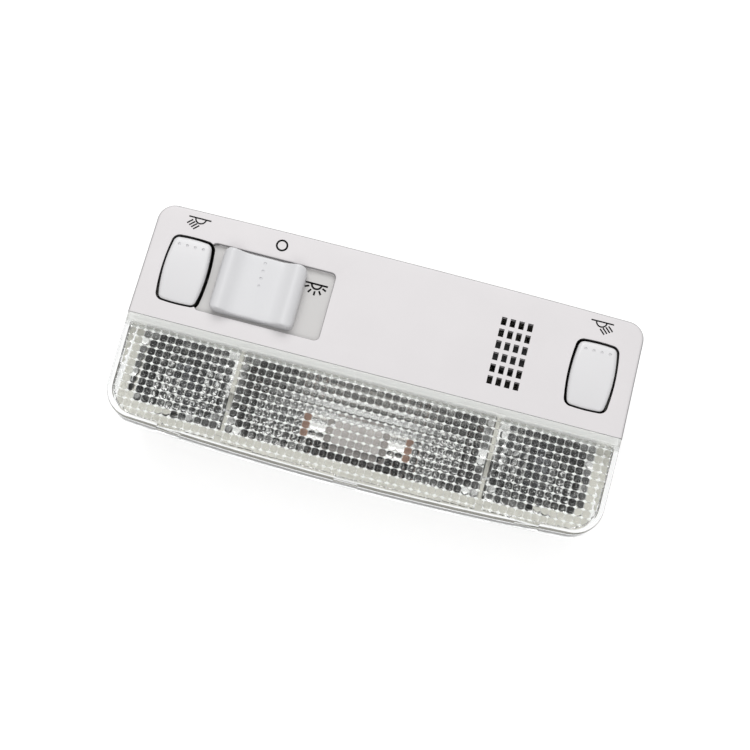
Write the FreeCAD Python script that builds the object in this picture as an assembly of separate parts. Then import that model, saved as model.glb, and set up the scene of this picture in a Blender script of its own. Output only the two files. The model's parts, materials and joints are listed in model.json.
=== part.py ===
import FreeCAD, Part
import math
import os

os.makedirs("parts", exist_ok=True)
V = FreeCAD.Vector

# The unit lies on its back: X runs along it, Y towards the switches, Z out of its face.
# All sizes are in millimetres.

# Overall outline
LENGTH = 200.0
HEIGHT = 92.9
DEPTH = 38.0
FLANGE_DEPTH = 11.0
LENS_HEIGHT = 44.45
TOP_BOW = 1.0
BOTTOM_BOW = 3.8
SIDE_TAPER = 1.1
TOP_CORNER = 7.0
BOTTOM_CORNER = 13.0
LEAST_CORNER = 1.5

# Walls and clearances
BEZEL_WALL = 2.0
FACE_THICKNESS = 2.2
FACE_EDGE = 1.4
LENS_WALL = 2.0
LENS_THICKNESS = 2.2
LENS_EDGE = 2.0
SEAM_GAP = 0.2
SEAT_CLEARANCE = 0.3
BASE_INSET = 6.0
BASE_WALL = 2.0
RIM_THICKNESS = 2.0
DECK_HEIGHT = 14.0
DECK_THICKNESS = 2.0

# Rocker switches
ROCKER_FROM_END = 17.1
SWITCH_DROP = 2.525
ROCKER_WIDTH = 17.2
ROCKER_LENGTH = 27.0
ROCKER_SIDE_BOW = 1.2
ROCKER_END_BOW = 0.5
ROCKER_CORNER = 2.4
ROCKER_RISE = 2.4
ROCKER_CROWN = 1.2
ROCKER_EDGE = 1.8
ROCKER_WALL = 1.6
ROCKER_SIDE_GAP = 1.0
ROCKER_END_GAP = 0.9
ROCKER_TILT = 4.5
PIVOT_DEPTH = 6.0
PIVOT_RADIUS = 1.2
PIVOT_CLEARANCE = 0.05
LUG_THICKNESS = 2.2
LUG_WIDTH = 7.0
LUG_BELOW_PIVOT = 2.6
SKIRT_BELOW_PIVOT = 2.0
KEEL_OFFSET = 8.0
KEEL_THICKNESS = 1.4
KEEL_WIDTH = 4.0
KEEL_BELOW_PIVOT = 6.0
DIMPLE_RADIUS = 0.6
DIMPLE_DEPTH = 0.35
DIMPLE_PITCH = 3.27
DIMPLE_COUNT = 4
DIMPLE_OFFSET = 10.1

# Slide switch
RECESS_RUN = 75.4
RECESS_HEIGHT = 28.6
RECESS_DEPTH = 2.0
RECESS_CORNER = 2.0
RECESS_FLOOR = 1.6
RECESS_EDGE = 0.6
SLIDE_FROM_END = 51.3
SLIDE_TRAVEL = 8.1
KNOB_LENGTH = 34.0
KNOB_HEIGHT = 26.0
KNOB_CORNER = 2.6
KNOB_EDGE = 0.9
KNOB_VALLEY = 4.3
KNOB_RIDGE = 6.8
KNOB_SHOULDER = 3.4
KNOB_RIDGE_X = 13.3
KNOB_VALLEY_X = 7.5
KNOB_WALL = 1.8
KNOB_DIMPLE_PITCH = 3.2
KNOB_DIMPLE_TOP = 10.3
SLIDE_CLEARANCE = 0.25
STEM_LENGTH = 8.0
STEM_HEIGHT = 10.0
STEM_DEPTH = 5.0
CARRIER_LENGTH = 14.0
CARRIER_HEIGHT = 17.0
CARRIER_THICKNESS = 4.0
CONTACT_THICKNESS = 0.5
CONTACT_BUMP = 1.2
TERMINAL_LENGTH = 5.6
TERMINAL_HEIGHT = 4.0
TERMINAL_THICKNESS = 0.8

# Grille
GRILLE_FROM_END = 50.23
GRILLE_DROP = 2.115
GRILLE_COLUMNS = 4
GRILLE_ROWS = 6
GRILLE_PITCH_X = 3.56
GRILLE_PITCH_Y = 4.93
GRILLE_HOLE_X = 2.15
GRILLE_HOLE_Y = 3.35
BOOT_RADIUS = 7.0
BOOT_HEIGHT = 8.0
CAPSULE_RADIUS = 4.85
CAPSULE_HEIGHT = 6.5
POST_RADIUS = 4.0

# Lamps
DIVIDER_FROM_END = 48.1
DIVIDER_THICKNESS = 1.6
DIVIDER_RISE = 4.0
DIVIDER_BREAK = 20.7
STRIP_WIDTH = 3.2
STRIP_THICKNESS = 0.8
PRONG_HEIGHT = 6.7
PRONG_DEPTH = 7.0
REFLECTOR_WALL = 1.0
REFLECTOR_RIM = 2.4
REFLECTOR_DRAFT = 5.0
REFLECTOR_CORNER = 5.0
REFLECTOR_DROP = 0.5
FESTOON_FROM_BOTTOM = 20.45
FESTOON_RISE = 8.5
FESTOON_RADIUS = 7.0
FESTOON_GLASS = 26.0
FESTOON_NECK = 4.0
FESTOON_SHOULDER = 3.0
GLASS_WALL = 0.8
CAP_LENGTH = 6.5
CAP_WALL = 0.5
CAP_TIP = 2.0
CAP_TIP_RADIUS = 1.6
CLIP_THICKNESS = 0.6
CLIP_WIDTH = 8.0
CLIP_RISE = 5.5
CLIP_FOOT = 6.0
CLIP_LIP = 1.5
READING_FROM_END = 28.5
READING_ROW = 16.0
BULB_RADIUS = 5.0
BULB_LENGTH = 19.0
DOME_STEPS = 5
SOCKET_RADIUS = 6.6
SOCKET_FLANGE_RADIUS = 9.0
SOCKET_FLANGE = 2.2
SOCKET_RISE = 3.0
SOCKET_GRIP_DEPTH = 5.0
SOCKET_GRIP_THICKNESS = 3.0
FILAMENT_RADIUS = 0.35
LEAD_SPACING = 3.4

# Rear conductors and connector
CONDUCTOR_THICKNESS = 0.8
CONDUCTOR_WIDTH = 4.0
SUPPLY_ROW = 3.0
GROUND_RISE = 12.45
STAKE_RADIUS = 1.0
STAKE_RISE = 1.0
CONNECTOR_FROM_END = 63.0
CONNECTOR_DROP = 1.7
CONNECTOR_LENGTH = 22.0
CONNECTOR_HEIGHT = 11.0
CONNECTOR_WALL = 1.2
CONNECTOR_FLOOR = 1.6
CONNECTOR_CLEAR = 0.6
PIN_COUNT = 5
PIN_PITCH = 3.5
PIN_SIZE = 0.8
PIN_RISE = 4.5

# Fasteners
BOSS_RADIUS = 3.2
SCREW_RADIUS = 1.4
SCREW_CLEARANCE = 0.1
SCREW_HEAD_RADIUS = 3.0
SCREW_HEAD = 2.0
SCREW_LENGTH = 10.0
LEFT_BOSS_FROM_END = 84.0
RIGHT_BOSS_FROM_END = 36.0
BOSS_FROM_SEAM = 10.0
BOSS_FROM_TOP = 14.45
SPRING_THICKNESS = 0.6
SPRING_WIDTH = 16.0
SPRING_BULGE = 3.6
SPRING_ROW = 12.0
SPRING_FOOT = 4.0
SPRING_LENGTH = 18.0
LATCH_FROM_END = 28.0
LATCH_LENGTH = 9.0
LATCH_HEIGHT = 2.4
LATCH_REACH = 1.2
RIB_THICKNESS = 1.4
RIB_DEPTH = 5.0
RIB_STEP = 14.0
RIBS_AT_LEFT = 5
RIB_FROM_RIGHT = 22.0
RIB_FROM_BOSS = 20.0
RIB_FROM_CONNECTOR = 10.0
RIB_FROM_DIVIDER = 11.9
RIB_FROM_MIDDLE = 8.0

# Levels and lines that follow from the sizes above
SEAT_Z = DEPTH - FLANGE_DEPTH
RIM_TOP = SEAT_Z + RIM_THICKNESS
FACE_UNDER = DEPTH - FACE_THICKNESS
LENS_UNDER = DEPTH - LENS_THICKNESS
DECK_UNDER = DECK_HEIGHT - DECK_THICKNESS
TOP_Y = HEIGHT / 2
BOTTOM_Y = -HEIGHT / 2
SEAM_Y = BOTTOM_Y + LENS_HEIGHT
RIM_INSET = max(BEZEL_WALL, LENS_WALL) + SEAT_CLEARANCE
INNER_INSET = BASE_INSET + BASE_WALL
SWITCH_Y = (TOP_Y + SEAM_Y) / 2 - SWITCH_DROP
GRILLE_Y = (TOP_Y + SEAM_Y) / 2 - GRILLE_DROP
ROCKER_X = LENGTH / 2 - ROCKER_FROM_END
RECESS_END = RECESS_RUN - LENGTH / 2
GRILLE_X = LENGTH / 2 - GRILLE_FROM_END
PIVOT_Z = DEPTH - PIVOT_DEPTH
RECESS_Z = DEPTH - RECESS_DEPTH
FLOOR_UNDER = RECESS_Z - RECESS_FLOOR
KNOB_X = SLIDE_FROM_END - LENGTH / 2 - SLIDE_TRAVEL / 2
FESTOON_Y = BOTTOM_Y + FESTOON_FROM_BOTTOM
FESTOON_AXIS = DECK_HEIGHT + FESTOON_RISE
DIVIDER_X = LENGTH / 2 - DIVIDER_FROM_END
READING_X = LENGTH / 2 - READING_FROM_END
READING_Y = SEAM_Y - READING_ROW
CROSS_FRONT = SEAM_Y - SEAM_GAP / 2 - LENS_WALL
CROSS_BACK = SEAM_Y + SEAM_GAP / 2 + BEZEL_WALL
DIVIDER_TOP = RIM_TOP + DIVIDER_RISE
GROUND_Y = BOTTOM_Y + GROUND_RISE
CONNECTOR_X = LENGTH / 2 - CONNECTOR_FROM_END
CONNECTOR_Y = SWITCH_Y - CONNECTOR_DROP
CONNECTOR_LEFT = CONNECTOR_X - CONNECTOR_LENGTH / 2
CONNECTOR_RIGHT = CONNECTOR_X + CONNECTOR_LENGTH / 2
BOSS_X = (LEFT_BOSS_FROM_END - LENGTH / 2, LENGTH / 2 - RIGHT_BOSS_FROM_END)
BOSSES = [(x, y) for x in BOSS_X for y in (SEAM_Y + BOSS_FROM_SEAM, TOP_Y - BOSS_FROM_TOP)]
LATCH_X = (LATCH_FROM_END - LENGTH / 2, 0, LENGTH / 2 - LATCH_FROM_END)
FAR = 2 * LENGTH


def box(x0, x1, y0, y1, z0, z1):
    return Part.makeBox(x1 - x0, y1 - y0, z1 - z0, V(x0, y0, z0))


def post(x, y, radius, z0, z1):
    return Part.makeCylinder(radius, z1 - z0, V(x, y, z0))


def extrude(wire, way):
    return Part.Face(wire).extrude(way)


def polygon(points):
    return Part.makePolygon(points + points[:1])


def arc(start, middle, end):
    return Part.Arc(start, middle, end).toShape()


def upright_edges(solid):
    picked = []
    for edge in solid.Edges:
        ends = edge.Vertexes
        if len(ends) == 2 and abs(ends[0].X - ends[1].X) + abs(ends[0].Y - ends[1].Y) < 1e-6:
            picked.append(edge)
    return picked


def edges_at(solid, level):
    return [e for e in solid.Edges if abs(e.BoundBox.ZMin - level) + abs(e.BoundBox.ZMax - level) < 1e-4]


def plan_block(inset, z0, z1):
    """The unit's outline, moved in by inset, as a block between two levels."""
    half = LENGTH / 2 - inset
    low = half - SIDE_TAPER
    top = TOP_Y - inset
    bottom = BOTTOM_Y + inset
    top_left = V(-half, top - TOP_BOW, z0)
    top_right = V(half, top - TOP_BOW, z0)
    low_left = V(-low, bottom + BOTTOM_BOW, z0)
    low_right = V(low, bottom + BOTTOM_BOW, z0)
    seam_left = V(-half, SEAM_Y, z0)
    seam_right = V(half, SEAM_Y, z0)
    wire = Part.Wire([
        arc(low_left, V(0, bottom, z0), low_right),
        Part.makeLine(low_right, seam_right),
        Part.makeLine(seam_right, top_right),
        arc(top_right, V(0, top, z0), top_left),
        Part.makeLine(top_left, seam_left),
        Part.makeLine(seam_left, low_left),
    ])
    block = extrude(wire, V(0, 0, z1 - z0))
    upper = [e for e in upright_edges(block) if e.Vertexes[0].Y > SEAM_Y + 1]
    block = block.makeFillet(max(TOP_CORNER - inset, LEAST_CORNER), upper)
    lower = [e for e in upright_edges(block) if e.Vertexes[0].Y < bottom + BOTTOM_BOW + 1]
    return block.makeFillet(max(BOTTOM_CORNER - inset, LEAST_CORNER), lower)


def barrel(x, y, width, length, side_bow, end_bow, corner, z0, z1):
    """A rounded rectangle with bowed sides, standing on z0."""
    side = width / 2 - side_bow
    end = length / 2 - end_bow
    corners = [V(x - side, y - end, z0), V(x + side, y - end, z0)]
    corners += [V(x + side, y + end, z0), V(x - side, y + end, z0)]
    wire = Part.Wire([
        arc(corners[0], V(x, y - length / 2, z0), corners[1]),
        arc(corners[1], V(x + width / 2, y, z0), corners[2]),
        arc(corners[2], V(x, y + length / 2, z0), corners[3]),
        arc(corners[3], V(x - width / 2, y, z0), corners[0]),
    ])
    block = extrude(wire, V(0, 0, z1 - z0))
    return block.makeFillet(corner, upright_edges(block))


def rounded_box(x0, x1, y0, y1, z0, z1, corner):
    block = box(x0, x1, y0, y1, z0, z1)
    return block.makeFillet(corner, upright_edges(block))


def rounded_wire(x0, x1, y0, y1, z, corner):
    block = rounded_box(x0, x1, y0, y1, z, z + 1, corner)
    flat = [f for f in block.Faces if f.BoundBox.ZMax < z + 0.5]
    return flat[0].OuterWire


def revolve_x(points, x, y, z):
    """Turn a profile of (distance along X, radius) points about a line along X."""
    wire = polygon([V(x + along, y + radius, z) for along, radius in points])
    return Part.Face(wire).revolve(V(x, y, z), V(1, 0, 0), 360)


def revolve_z(points, x, y):
    """Turn a profile of (radius, level) points about an upright line."""
    wire = polygon([V(x + radius, y, level) for radius, level in points])
    return Part.Face(wire).revolve(V(x, y, 0), V(0, 0, 1), 360)


def above_seam(solid, line):
    return solid.common(box(-FAR, FAR, line, FAR, -FAR, FAR))


def below_seam(solid, line):
    return solid.common(box(-FAR, FAR, -FAR, line, -FAR, FAR))


# Front bezel
def rocker_opening(x):
    width = ROCKER_WIDTH + 2 * ROCKER_SIDE_GAP
    length = ROCKER_LENGTH + 2 * ROCKER_END_GAP
    corner = ROCKER_CORNER + ROCKER_END_GAP
    return barrel(x, SWITCH_Y, width, length, ROCKER_SIDE_BOW, ROCKER_END_BOW, corner,
                  PIVOT_Z, DEPTH + ROCKER_RISE)


def bearing_lugs(x):
    """Two plates under the face that carry the pivot pins of a rocker."""
    inner = ROCKER_WIDTH / 2 + ROCKER_SIDE_GAP + SEAT_CLEARANCE
    lugs = []
    for way in (-1, 1):
        near = x + way * inner
        far = near + way * LUG_THICKNESS
        plate = box(min(near, far), max(near, far), SWITCH_Y - LUG_WIDTH / 2, SWITCH_Y + LUG_WIDTH / 2,
                    PIVOT_Z - LUG_BELOW_PIVOT, FACE_UNDER + FACE_THICKNESS / 4)
        bore = Part.makeCylinder(PIVOT_RADIUS + PIVOT_CLEARANCE, LUG_THICKNESS,
                                 V(min(near, far), SWITCH_Y, PIVOT_Z), V(1, 0, 0))
        lugs.append(plate.cut(bore))
    return lugs


def slide_recess():
    x0 = -ROCKER_X + ROCKER_WIDTH / 2 - ROCKER_SIDE_BOW
    x1 = RECESS_END
    y0 = SWITCH_Y - RECESS_HEIGHT / 2
    y1 = SWITCH_Y + RECESS_HEIGHT / 2
    pocket = rounded_box(x0, x1, y0, y1, RECESS_Z, DEPTH + 1, RECESS_CORNER)
    floor = box(x0 - BEZEL_WALL, x1 + BEZEL_WALL, y0 - BEZEL_WALL, y1 + BEZEL_WALL,
                FLOOR_UNDER, DEPTH - RECESS_DEPTH / 2)
    return floor, pocket


def stem_slot():
    half = STEM_LENGTH / 2 + SLIDE_CLEARANCE
    wide = STEM_HEIGHT / 2 + SLIDE_CLEARANCE
    return box(KNOB_X - half, KNOB_X + SLIDE_TRAVEL + half, SWITCH_Y - wide, SWITCH_Y + wide,
               FLOOR_UNDER - 1, DEPTH)


def grille_holes():
    holes = []
    middle_y = GRILLE_Y
    for column in range(GRILLE_COLUMNS):
        x = GRILLE_X + (column - (GRILLE_COLUMNS - 1) / 2) * GRILLE_PITCH_X
        for row in range(GRILLE_ROWS):
            y = middle_y + (row - (GRILLE_ROWS - 1) / 2) * GRILLE_PITCH_Y
            holes.append(box(x - GRILLE_HOLE_X / 2, x + GRILLE_HOLE_X / 2,
                             y - GRILLE_HOLE_Y / 2, y + GRILLE_HOLE_Y / 2, FACE_UNDER - 1, DEPTH + 1))
    return holes


def front_bezel():
    line = SEAM_Y + SEAM_GAP / 2
    shell = plan_block(0, SEAT_Z, DEPTH)
    shell = shell.makeFillet(FACE_EDGE, edges_at(shell, DEPTH))
    shell = above_seam(shell, line)
    shell = shell.cut(above_seam(plan_block(BEZEL_WALL, SEAT_Z - 1, FACE_UNDER), line + BEZEL_WALL))
    below_cross = plan_block(BEZEL_WALL, SEAT_Z - 1, RIM_TOP)
    shell = shell.cut(below_seam(below_cross, line + BEZEL_WALL))
    floor, pocket = slide_recess()
    shell = shell.fuse([floor] + bearing_lugs(-ROCKER_X) + bearing_lugs(ROCKER_X))
    shell = shell.cut(pocket)
    lip = [e for e in edges_at(shell, DEPTH) if pocket.BoundBox.isInside(e.BoundBox.Center)]
    shell = shell.makeFillet(RECESS_EDGE, lip)
    shell = shell.cut([stem_slot(), rocker_opening(-ROCKER_X), rocker_opening(ROCKER_X)])
    shell = shell.cut(grille_holes())
    pillars = [post(x, y, BOSS_RADIUS, DECK_HEIGHT, FACE_UNDER + FACE_THICKNESS / 4) for x, y in BOSSES]
    bores = [post(x, y, SCREW_RADIUS + SCREW_CLEARANCE, DECK_HEIGHT - 1, DECK_HEIGHT + SCREW_LENGTH)
             for x, y in BOSSES]
    return shell.fuse(pillars).cut(bores).removeSplitter()


# Clear lens
def lens():
    line = SEAM_Y - SEAM_GAP / 2
    shell = plan_block(0, SEAT_Z, DEPTH)
    shell = shell.makeFillet(LENS_EDGE, edges_at(shell, DEPTH))
    shell = below_seam(shell, line)
    shell = shell.cut(below_seam(plan_block(LENS_WALL, SEAT_Z - 1, LENS_UNDER), line - LENS_WALL))
    shell = shell.cut(above_seam(plan_block(LENS_WALL, SEAT_Z - 1, RIM_TOP), line - LENS_WALL))
    strips = []
    for x in (-DIVIDER_X, DIVIDER_X):
        strips.append(box(x - STRIP_WIDTH / 2, x + STRIP_WIDTH / 2, BOTTOM_Y + LENS_WALL + BOTTOM_BOW,
                          line - LENS_WALL / 2, LENS_UNDER - STRIP_THICKNESS, DEPTH - LENS_THICKNESS / 2))
        top = SEAM_Y - DIVIDER_BREAK - SEAT_CLEARANCE
        strips.append(box(x - STRIP_WIDTH / 2, x + STRIP_WIDTH / 2, top - PRONG_HEIGHT, top,
                          LENS_UNDER - PRONG_DEPTH, LENS_UNDER + LENS_THICKNESS / 2))
    shell = shell.fuse(strips)
    return shell.cut([latch(x, SEAT_CLEARANCE) for x in LATCH_X]).removeSplitter()


def latch(x, clearance):
    """A snap hook of the base, or with clearance the window that it enters in the lens wall."""
    edge = BOTTOM_Y + BOTTOM_BOW * (x / (LENGTH / 2)) ** 2
    inner = edge + LENS_WALL
    half = LATCH_LENGTH / 2 + clearance
    return box(x - half, x + half, inner - LATCH_REACH - clearance, inner + LATCH_REACH,
               RIM_TOP - LATCH_HEIGHT - clearance, RIM_TOP + clearance)


# Rear carrier
def wells():
    """The three lamp chambers as (left, right) limits along X."""
    outer = LENGTH / 2 - INNER_INSET
    near = DIVIDER_X - DIVIDER_THICKNESS / 2
    far = DIVIDER_X + DIVIDER_THICKNESS / 2
    return {
        "left_reflector": (-outer, -far),
        "centre_reflector": (-near, near),
        "right_reflector": (far, outer),
    }


def dividers():
    plates = []
    room = plan_block(INNER_INSET - BASE_WALL / 2, DECK_UNDER, DIVIDER_TOP)
    for x in (-DIVIDER_X, DIVIDER_X):
        left = x - DIVIDER_THICKNESS / 2
        right = x + DIVIDER_THICKNESS / 2
        low = box(left, right, BOTTOM_Y, CROSS_FRONT + LENS_WALL / 2,
                  DECK_UNDER, LENS_UNDER - PRONG_DEPTH - SEAT_CLEARANCE)
        tall = box(left, right, SEAM_Y - DIVIDER_BREAK, CROSS_FRONT, DECK_UNDER, DIVIDER_TOP)
        plates += [low.common(room), tall]
    return plates


def ribs_behind_face():
    """Rib places along X: evenly from the left end, beside the bosses and connector, near the right end."""
    places = [RIB_STEP * (index + 1) - LENGTH / 2 for index in range(RIBS_AT_LEFT)]
    places += [BOSS_X[0] + RIB_FROM_BOSS, CONNECTOR_LEFT - RIB_FROM_CONNECTOR]
    places.append(LENGTH / 2 - RIB_FROM_RIGHT)
    return places


def rear_ribs():
    """Stiffening ribs under the deck, clear of the conductors and sockets."""
    upper_end = TOP_Y - TOP_BOW - BASE_INSET - BASE_WALL / 2
    upper_start = SEAM_Y + SUPPLY_ROW + CONDUCTOR_WIDTH
    lower_start = FESTOON_Y + CONDUCTOR_WIDTH
    lower_end = SEAM_Y + SUPPLY_ROW - CONDUCTOR_WIDTH
    z0 = DECK_UNDER - RIB_DEPTH
    half = RIB_THICKNESS / 2
    ribs = [box(x - half, x + half, upper_start, upper_end, z0, DECK_HEIGHT) for x in ribs_behind_face()]
    beside = DIVIDER_X - RIB_FROM_DIVIDER
    behind_lens = (-beside, -RIB_FROM_MIDDLE, RIB_FROM_MIDDLE, beside)
    ribs += [box(x - half, x + half, lower_start, lower_end, z0, DECK_HEIGHT) for x in behind_lens]
    return ribs


def base():
    outer = plan_block(BASE_INSET, 0, RIM_TOP)
    inner_front = plan_block(INNER_INSET, DECK_HEIGHT, RIM_TOP + 1)
    inner_back = plan_block(INNER_INSET, -1, DECK_UNDER)
    body = plan_block(RIM_INSET, SEAT_Z, RIM_TOP).fuse(outer)
    body = body.cut([inner_front, inner_back])
    room = plan_block(INNER_INSET - BASE_WALL / 2, DECK_UNDER, RIM_TOP)
    cross = box(-FAR, FAR, CROSS_FRONT, CROSS_BACK, DECK_UNDER, RIM_TOP).common(room)
    terminal_post = box(KNOB_X - CARRIER_LENGTH / 2, KNOB_X + SLIDE_TRAVEL + CARRIER_LENGTH / 2,
                        SWITCH_Y - TERMINAL_HEIGHT, SWITCH_Y + TERMINAL_HEIGHT, DECK_UNDER, terminal_level())
    microphone_post = post(GRILLE_X, GRILLE_Y, POST_RADIUS, DECK_UNDER, FACE_UNDER - BOOT_HEIGHT)
    added = [cross, terminal_post, microphone_post]
    added += dividers() + rear_ribs() + contact_posts() + stakes()
    body = body.fuse(added)
    body = body.fuse([latch(x, 0) for x in LATCH_X])
    cuts = [post(x, y, SCREW_RADIUS + SCREW_CLEARANCE, DECK_UNDER - 1, DECK_HEIGHT + 1) for x, y in BOSSES]
    for way in (-1, 1):
        cuts.append(post(way * READING_X, READING_Y, SOCKET_RADIUS + SCREW_CLEARANCE,
                         DECK_UNDER - 1, DECK_HEIGHT + 1))
        cuts.append(clip_slot(way))
    return body.cut(cuts + pin_slots()).removeSplitter()


# Reflectors
def reflector(limits):
    x0 = limits[0] + SEAT_CLEARANCE
    x1 = limits[1] - SEAT_CLEARANCE
    y1 = CROSS_FRONT - SEAT_CLEARANCE
    top = RIM_TOP - REFLECTOR_DROP
    bed = plan_block(INNER_INSET + SEAT_CLEARANCE, DECK_HEIGHT, top)
    flange = bed.common(box(x0, x1, BOTTOM_Y, y1, top - REFLECTOR_WALL, top))
    mouth_x0 = x0 + REFLECTOR_RIM
    mouth_x1 = x1 - REFLECTOR_RIM
    mouth_y1 = y1 - REFLECTOR_RIM
    bow = BOTTOM_BOW * (max(abs(x0), abs(x1)) / (LENGTH / 2)) ** 2
    mouth_y0 = BOTTOM_Y + INNER_INSET + bow + SEAT_CLEARANCE + REFLECTOR_WALL
    skin = []
    for wall in (REFLECTOR_WALL, 0):
        upper = rounded_wire(mouth_x0 - wall, mouth_x1 + wall, mouth_y0 - wall, mouth_y1 + wall,
                             top, REFLECTOR_CORNER)
        level = DECK_HEIGHT + REFLECTOR_WALL - wall
        shrink = REFLECTOR_DRAFT - wall
        lower = rounded_wire(mouth_x0 + shrink, mouth_x1 - shrink, mouth_y0 + shrink, mouth_y1 - shrink,
                             level, REFLECTOR_CORNER)
        skin.append(Part.makeLoft([lower, upper], True, True))
    bowl = flange.fuse(skin[0].common(bed)).cut(skin[1])
    holes = []
    for way in (-1, 1):
        holes.append(post(way * READING_X, READING_Y, SOCKET_RADIUS + SEAT_CLEARANCE, DECK_HEIGHT - 1, top))
        holes.append(clip_slot(way))
    return bowl.cut(holes).removeSplitter()


# Lamp contacts and bulbs
def clip_x(way):
    return way * (FESTOON_GLASS / 2 + CAP_LENGTH + CAP_TIP / 2)


def clip_slot(way):
    middle = clip_x(way)
    half = CLIP_THICKNESS / 2 + SEAT_CLEARANCE
    wide = CLIP_WIDTH / 2 + SEAT_CLEARANCE
    return box(middle - half, middle + half, FESTOON_Y - wide, FESTOON_Y + wide,
               DECK_UNDER - 1, DECK_HEIGHT + REFLECTOR_WALL + SEAT_CLEARANCE)


def festoon_clip(way):
    """A bent leaf with a foot behind the deck and a hole for the tip of the bulb."""
    inner = abs(clip_x(1)) - CLIP_THICKNESS / 2
    outer = inner + CLIP_THICKNESS
    foot = DECK_UNDER - CLIP_THICKNESS
    top = FESTOON_AXIS + CLIP_RISE
    points = [(outer, foot), (outer, top), (outer + CLIP_LIP, top + CLIP_LIP),
              (inner + CLIP_LIP, top + CLIP_LIP),
              (inner, top), (inner, DECK_UNDER), (inner - CLIP_FOOT, DECK_UNDER), (inner - CLIP_FOOT, foot)]
    wire = polygon([V(way * x, FESTOON_Y - CLIP_WIDTH / 2, z) for x, z in points])
    leaf = extrude(wire, V(0, CLIP_WIDTH, 0))
    hole = Part.makeCylinder(tip_radius_at_clip() + SCREW_CLEARANCE, FAR,
                             V(-FAR / 2, FESTOON_Y, FESTOON_AXIS), V(1, 0, 0))
    return leaf.cut(hole)


def tip_radius_at_clip():
    return (FESTOON_NECK + CAP_TIP_RADIUS) / 2 + CLIP_THICKNESS / 2


def festoon_glass():
    half = FESTOON_GLASS / 2
    straight = half - FESTOON_SHOULDER
    skin = []
    for wall in (0, GLASS_WALL):
        wide = FESTOON_RADIUS - wall
        neck = FESTOON_NECK - CAP_WALL - SCREW_CLEARANCE - wall
        reach = half + CAP_LENGTH / 2 + wall
        points = [(-reach, 0), (-reach, neck), (-half, neck), (-straight, wide),
                  (straight, wide), (half, neck), (reach, neck), (reach, 0)]
        skin.append(revolve_x(points, 0, FESTOON_Y, FESTOON_AXIS))
    return skin[0].cut(skin[1])


def festoon_caps():
    caps = []
    for way in (-1, 1):
        start = FESTOON_GLASS / 2 + SEAT_CLEARANCE
        bottom = FESTOON_GLASS / 2 + CAP_LENGTH
        points = [(start, FESTOON_NECK - CAP_WALL), (start, FESTOON_NECK), (bottom, FESTOON_NECK),
                  (bottom + CAP_TIP, CAP_TIP_RADIUS), (bottom + CAP_TIP, 0), (bottom - CAP_WALL, 0),
                  (bottom - CAP_WALL, FESTOON_NECK - CAP_WALL)]
        turned = [(way * along, radius) for along, radius in points]
        caps.append(revolve_x(turned, 0, FESTOON_Y, FESTOON_AXIS))
    return Part.makeCompound(caps)


def festoon_filament():
    reach = FESTOON_GLASS / 2 + CAP_LENGTH - CAP_WALL
    return Part.makeCylinder(FILAMENT_RADIUS, 2 * reach, V(-reach, FESTOON_Y, FESTOON_AXIS), V(1, 0, 0))


def bulb_glass(way):
    """A wedge bulb envelope with a domed top, open at the bottom inside its socket."""
    shoulder = DECK_HEIGHT + BULB_LENGTH - BULB_RADIUS
    skin = []
    for wall in (0, GLASS_WALL):
        side = BULB_RADIUS - wall
        points = [(0, DECK_HEIGHT - wall), (side, DECK_HEIGHT - wall)]
        for step in range(DOME_STEPS):
            turn = math.pi / 2 * step / DOME_STEPS
            points.append((side * math.cos(turn), shoulder + side * math.sin(turn)))
        points.append((0, shoulder + side))
        skin.append(revolve_z(points, way * READING_X, READING_Y))
    return skin[0].cut(skin[1])


def bulb_filament(way):
    """Two lead wires from the socket and the coil that joins them."""
    x = way * READING_X
    top = DECK_HEIGHT + BULB_LENGTH - 2 * BULB_RADIUS
    left = x - LEAD_SPACING / 2
    places = (left, left + LEAD_SPACING)
    leads = [post(place, READING_Y, FILAMENT_RADIUS, DECK_HEIGHT, top) for place in places]
    coil = Part.makeCylinder(FILAMENT_RADIUS, LEAD_SPACING, V(left, READING_Y, top), V(1, 0, 0))
    return leads[0].fuse([leads[1], coil]).removeSplitter()


def bulb_socket(way):
    """A holder put in from behind, with a flange, a bulb cup and a grip bar."""
    x = way * READING_X
    flange_under = DECK_UNDER - SOCKET_FLANGE
    body = post(x, READING_Y, SOCKET_RADIUS, flange_under, DECK_HEIGHT + SOCKET_RISE)
    flange = post(x, READING_Y, SOCKET_FLANGE_RADIUS, flange_under, DECK_UNDER)
    grip = box(x - SOCKET_RADIUS, x + SOCKET_RADIUS, READING_Y - SOCKET_GRIP_THICKNESS / 2,
               READING_Y + SOCKET_GRIP_THICKNESS / 2, flange_under - SOCKET_GRIP_DEPTH, flange_under)
    cup = post(x, READING_Y, BULB_RADIUS + SCREW_CLEARANCE, DECK_HEIGHT, DECK_HEIGHT + SOCKET_RISE + 1)
    return body.fuse([flange, grip]).cut(cup).removeSplitter()


# Rocker switches
def rocker_side(rise, shorten, bottom, x):
    """The side view of a rocker in its level position, carried across its width."""
    half = ROCKER_LENGTH / 2 - shorten
    end = rise - ROCKER_CROWN
    start = V(x - ROCKER_WIDTH, SWITCH_Y - half, PIVOT_Z + bottom)
    left_top = V(x - ROCKER_WIDTH, SWITCH_Y - half, PIVOT_Z + end)
    middle = V(x - ROCKER_WIDTH, SWITCH_Y, PIVOT_Z + rise)
    right_top = V(x - ROCKER_WIDTH, SWITCH_Y + half, PIVOT_Z + end)
    finish = V(x - ROCKER_WIDTH, SWITCH_Y + half, PIVOT_Z + bottom)
    wire = Part.Wire([
        Part.makeLine(start, left_top),
        arc(left_top, middle, right_top),
        Part.makeLine(right_top, finish),
        Part.makeLine(finish, start),
    ])
    return extrude(wire, V(2 * ROCKER_WIDTH, 0, 0))


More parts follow.
